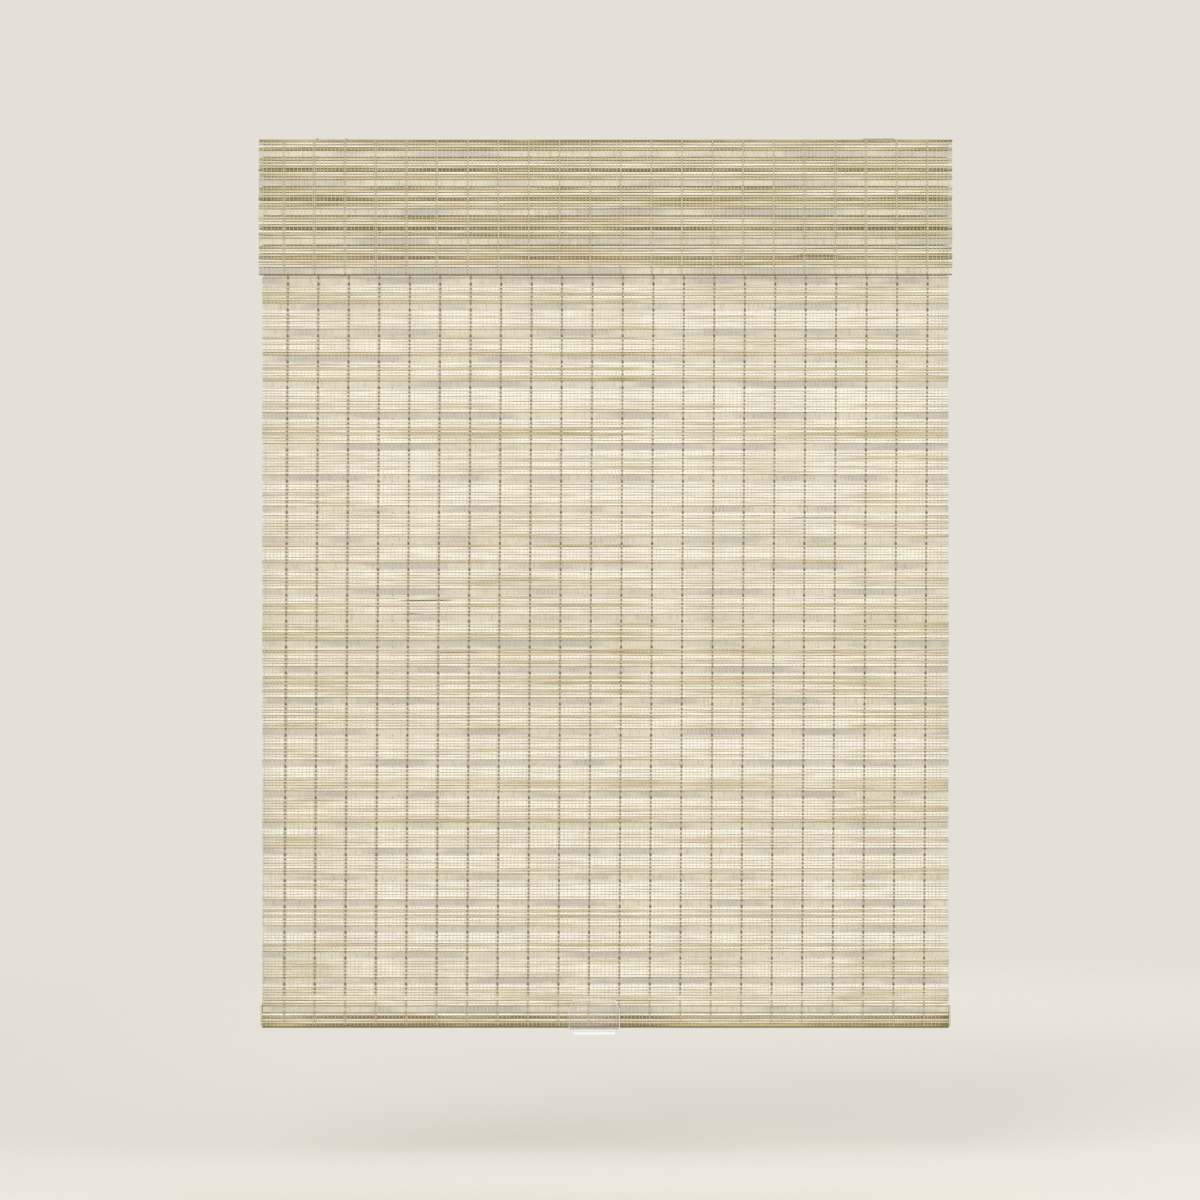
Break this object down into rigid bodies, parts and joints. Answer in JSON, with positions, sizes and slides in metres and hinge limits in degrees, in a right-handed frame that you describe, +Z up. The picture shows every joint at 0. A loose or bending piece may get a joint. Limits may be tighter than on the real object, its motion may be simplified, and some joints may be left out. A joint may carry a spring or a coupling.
{
  "type": "woven wood shade",
  "caption": "Flat woven reed window shade with a deep reed valance, folded bottom hem, clear pull handle and a spring-lift headrail on swivel brackets.",
  "frame": {"origin": "middle of the bracket screws, on the plane where the brackets meet the head of the recess", "axes": "+Z up, the shade's front faces -Y, +X runs to its right seen from the front"},
  "size_m": [0.785, 0.0676, 1.0145],
  "materials": {
    "reed_mat": "matte",
    "valance_mat": "matte",
    "warp_thread": "matte",
    "tape": "matte",
    "batten": "matte",
    "bar": "satin",
    "plug": "matte",
    "clear_plastic": "gloss",
    "rail_paint": "satin",
    "moulded_white": "matte",
    "moulded_grey": "matte",
    "spring_steel": "satin",
    "bracket_steel": "satin",
    "cord": "matte"
  },
  "bodies": {
    "headrail": {"headrail": "rail_paint", "end_cap_left": "moulded_white", "end_cap_right": "moulded_white", "mount_bracket_left": "bracket_steel", "mount_bracket_right": "bracket_steel", "bracket_rivet_left": "bracket_steel", "bracket_rivet_right": "bracket_steel", "motor_housing": "moulded_white", "motor_cover": "moulded_white", "motor_spring": "spring_steel", "cord_cradle_left": "moulded_white", "cord_cradle_right": "moulded_white", "lift_cord_left": "cord", "lift_cord_right": "cord", "rail_tape": "tape", "valance_tape": "tape", "valance_batten": "batten", "valance": "valance_mat", "valance_threads": "warp_thread", "woven_panel": "reed_mat", "warp_threads": "warp_thread"},
    "bottom_rail": {"weight_bar": "bar", "bar_plug_left": "plug", "bar_plug_right": "plug", "bottom_hem": "reed_mat", "handle": "clear_plastic", "cord_anchor_left": "moulded_white", "cord_anchor_right": "moulded_white"},
    "lift_shaft": {"lift_shaft": "bar", "cord_spool_left": "moulded_grey", "cord_spool_right": "moulded_grey", "drive_drum": "moulded_grey"},
    "storage_drum": {"storage_drum": "moulded_grey"},
    "bracket_lever_left": {"bracket_lever_left": "bracket_steel"},
    "bracket_lever_right": {"bracket_lever_right": "bracket_steel"},
    "ring_row_1": {"ring_row_1": "clear_plastic"},
    "ring_row_2": {"ring_row_2": "clear_plastic"},
    "ring_row_3": {"ring_row_3": "clear_plastic"},
    "ring_row_4": {"ring_row_4": "clear_plastic"}
  },
  "joints": [
    {"name": "lift", "type": "slide", "parent": "headrail", "child": "bottom_rail", "axis": [0, 0, 1], "range_m": [0, 0.8], "deforming": ["woven_panel", "warp_threads", "lift_cord_left", "lift_cord_right"]},
    {"name": "shaft_turn", "type": "hinge", "parent": "headrail", "child": "lift_shaft", "pos_m": [0, -0.0057, -0.0235], "axis": [1, 0, 0], "range_deg": [-3581.99, 1]},
    {"name": "storage_turn", "type": "hinge", "parent": "headrail", "child": "storage_drum", "pos_m": [0, 0.0142, -0.0235], "axis": [1, 0, 0], "range_deg": [-5802.2, 1]},
    {"name": "lever_left", "type": "hinge", "parent": "headrail", "child": "bracket_lever_left", "pos_m": [-0.319, 0.008, -0.002], "axis": [0, 0, 1], "range_deg": [0, 90]},
    {"name": "lever_right", "type": "hinge", "parent": "headrail", "child": "bracket_lever_right", "pos_m": [0.319, 0.008, -0.002], "axis": [0, 0, 1], "range_deg": [-90, 0]},
    {"name": "ring_rise_1", "type": "slide", "parent": "headrail", "child": "ring_row_1", "axis": [0, 0, 1], "range_m": [0, 0.1605]},
    {"name": "ring_rise_2", "type": "slide", "parent": "headrail", "child": "ring_row_2", "axis": [0, 0, 1], "range_m": [0, 0.3205]},
    {"name": "ring_rise_3", "type": "slide", "parent": "headrail", "child": "ring_row_3", "axis": [0, 0, 1], "range_m": [0, 0.4805]},
    {"name": "ring_rise_4", "type": "slide", "parent": "headrail", "child": "ring_row_4", "axis": [0, 0, 1], "range_m": [0, 0.6405]}
  ],
  "couplings": [
    {"joint": "shaft_turn", "follows": "lift", "rad_per_m": -78.125},
    {"joint": "storage_turn", "follows": "lift", "rad_per_m": -126.56},
    {"joint": "ring_rise_1", "follows": "lift", "ratio": 0.2},
    {"joint": "ring_rise_2", "follows": "lift", "ratio": 0.4},
    {"joint": "ring_rise_3", "follows": "lift", "ratio": 0.6},
    {"joint": "ring_rise_4", "follows": "lift", "ratio": 0.8}
  ]
}
